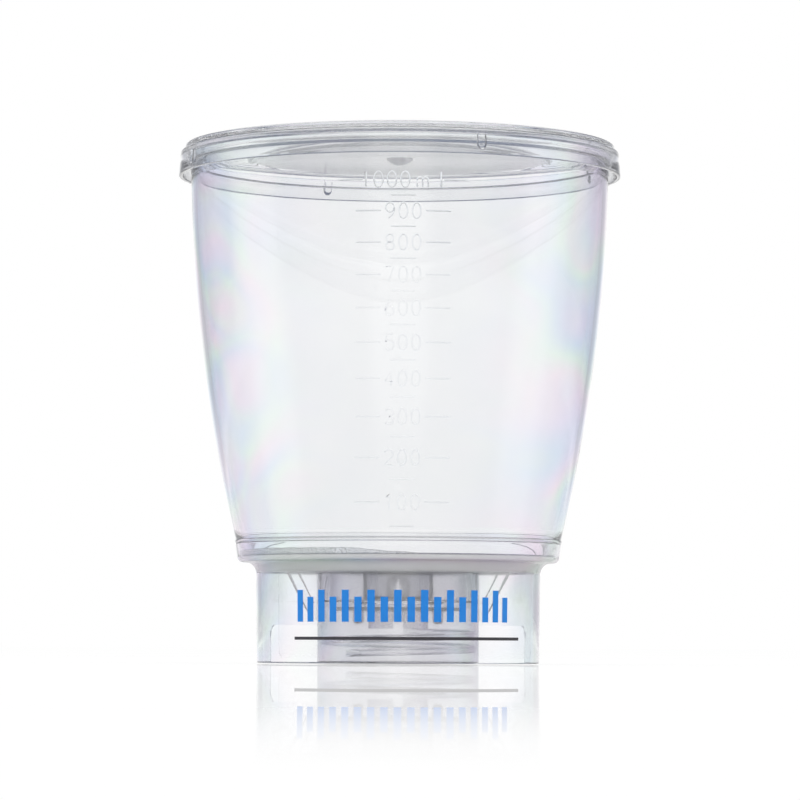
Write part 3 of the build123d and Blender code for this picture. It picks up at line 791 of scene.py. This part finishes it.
# polished near the object, so the foot is mirrored faintly at a low view
shine = add_node(tree, "ShaderNodeBsdfGlossy", Roughness=0.0)
shine.inputs["Color"].default_value = (1, 1, 1, 1)
grazing = add_node(tree, "ShaderNodeFresnel", IOR=1.45)
near = smooth_step(tree, distance.outputs["Value"], 0.80, 1.06, 0.5, 0.0)
polish = add_node(tree, "ShaderNodeMixShader")
tree.links.new(math_node(tree, "MULTIPLY", grazing.outputs[0], near), polish.inputs[0])
tree.links.new(pale.outputs[0], polish.inputs[1])
tree.links.new(shine.outputs[0], polish.inputs[2])
output = add_node(tree, "ShaderNodeOutputMaterial")
tree.links.new(polish.outputs[0], output.inputs["Surface"])
FLOOR_HALF = 12
FLOOR_LEVEL = -0.0002
CORNERS = ((-1, -1), (1, -1), (1, 1), (-1, 1))
floor_corners = [(x * FLOOR_HALF, y * FLOOR_HALF, FLOOR_LEVEL) for x, y in CORNERS]
floor = new_piece("floor", floor_corners, [(0, 1, 2, 3)], floor_material, smooth=False)

# ---------------------------------------------------------------- surroundings
world = bpy.data.worlds.new("studio")
scene.world = world
world.use_nodes = True
tree = world.node_tree
tree.nodes.clear()
direction = add_node(tree, "ShaderNodeTexCoord")
panels, rise = bright_panels(tree, direction.outputs["Generated"])
# the panels fade upwards
above = smooth_step(tree, rise, 0.20, 0.44, 0.0, 1.0)
# an overhead softbox
overhead = smooth_step(tree, rise, 0.80, 0.98, 0.0, 1.0)
level = add_node(tree, "ShaderNodeMix", data_type="FLOAT")
tree.links.new(above, level.inputs["Factor"])
tree.links.new(panels, level.inputs["A"])
tree.links.new(overhead, level.inputs["B"])
gaps = ramp(tree, level.outputs["Result"], STUDIO)
path = add_node(tree, "ShaderNodeLightPath")
bent = math_node(tree, "ADD", path.outputs["Is Glossy Ray"], path.outputs["Is Transmission Ray"], clamp=True)
bent = math_node(tree, "SUBTRACT", bent, path.outputs["Is Camera Ray"], clamp=True)
# what lights a matt surface through the clear walls is the plain white of the room
bent = math_node(tree, "SUBTRACT", bent, path.outputs["Diffuse Depth"], clamp=True)
shown = add_node(tree, "ShaderNodeMix", data_type="RGBA")
shown.inputs["A"].default_value = (1, 1, 1, 1)
tree.links.new(bent, shown.inputs["Factor"])
tree.links.new(gaps, shown.inputs["B"])
sky = add_node(tree, "ShaderNodeBackground", Strength=1.0)
tree.links.new(shown.outputs["Result"], sky.inputs["Color"])
output = add_node(tree, "ShaderNodeOutputWorld")
tree.links.new(sky.outputs[0], output.inputs["Surface"])

# ---------------------------------------------------------------- lamp
lamp_data = bpy.data.lights.new("softbox", "AREA")
lamp_data.shape = "RECTANGLE"
lamp_data.size = 0.9
lamp_data.size_y = 0.6
lamp_data.energy = 1.6
lamp = bpy.data.objects.new("softbox", lamp_data)
scene.collection.objects.link(lamp)
lamp.location = (-0.35, -0.25, 1.1)
lamp.visible_glossy = False
lamp.visible_transmission = False
lamp.rotation_euler = (Vector(lamp.location) - Vector((0, 0, 0.07))).to_track_quat("Z", "Y").to_euler()

# ---------------------------------------------------------------- camera
# angles are in degrees
CAMERA_DISTANCE = 1.218
CAMERA_HEIGHT = 0.005
CAMERA_HEADING = 0.0151
CAMERA_RISE = 3.439
CAMERA_ROLL = 0.224
camera_data = bpy.data.cameras.new("camera")
camera_data.lens = 184.5
camera_data.sensor_width = 36
camera_data.clip_start = 0.05
camera_data.clip_end = 60
camera = bpy.data.objects.new("camera", camera_data)
scene.collection.objects.link(camera)
place = Matrix.Translation((0, -CAMERA_DISTANCE, CAMERA_HEIGHT))
heading = Matrix.Rotation(-math.radians(CAMERA_HEADING), 4, "Z")
pitch = Matrix.Rotation(math.radians(90 + CAMERA_RISE), 4, "X")
roll = Matrix.Rotation(math.radians(CAMERA_ROLL), 4, "Z")
camera.matrix_world = place @ heading @ pitch @ roll
scene.camera = camera

# ---------------------------------------------------------------- light paths through many clear walls
scene.view_settings.view_transform = "Standard"
scene.cycles.max_bounces = 32
scene.cycles.transmission_bounces = 32
scene.cycles.glossy_bounces = 16
scene.cycles.transparent_max_bounces = 32
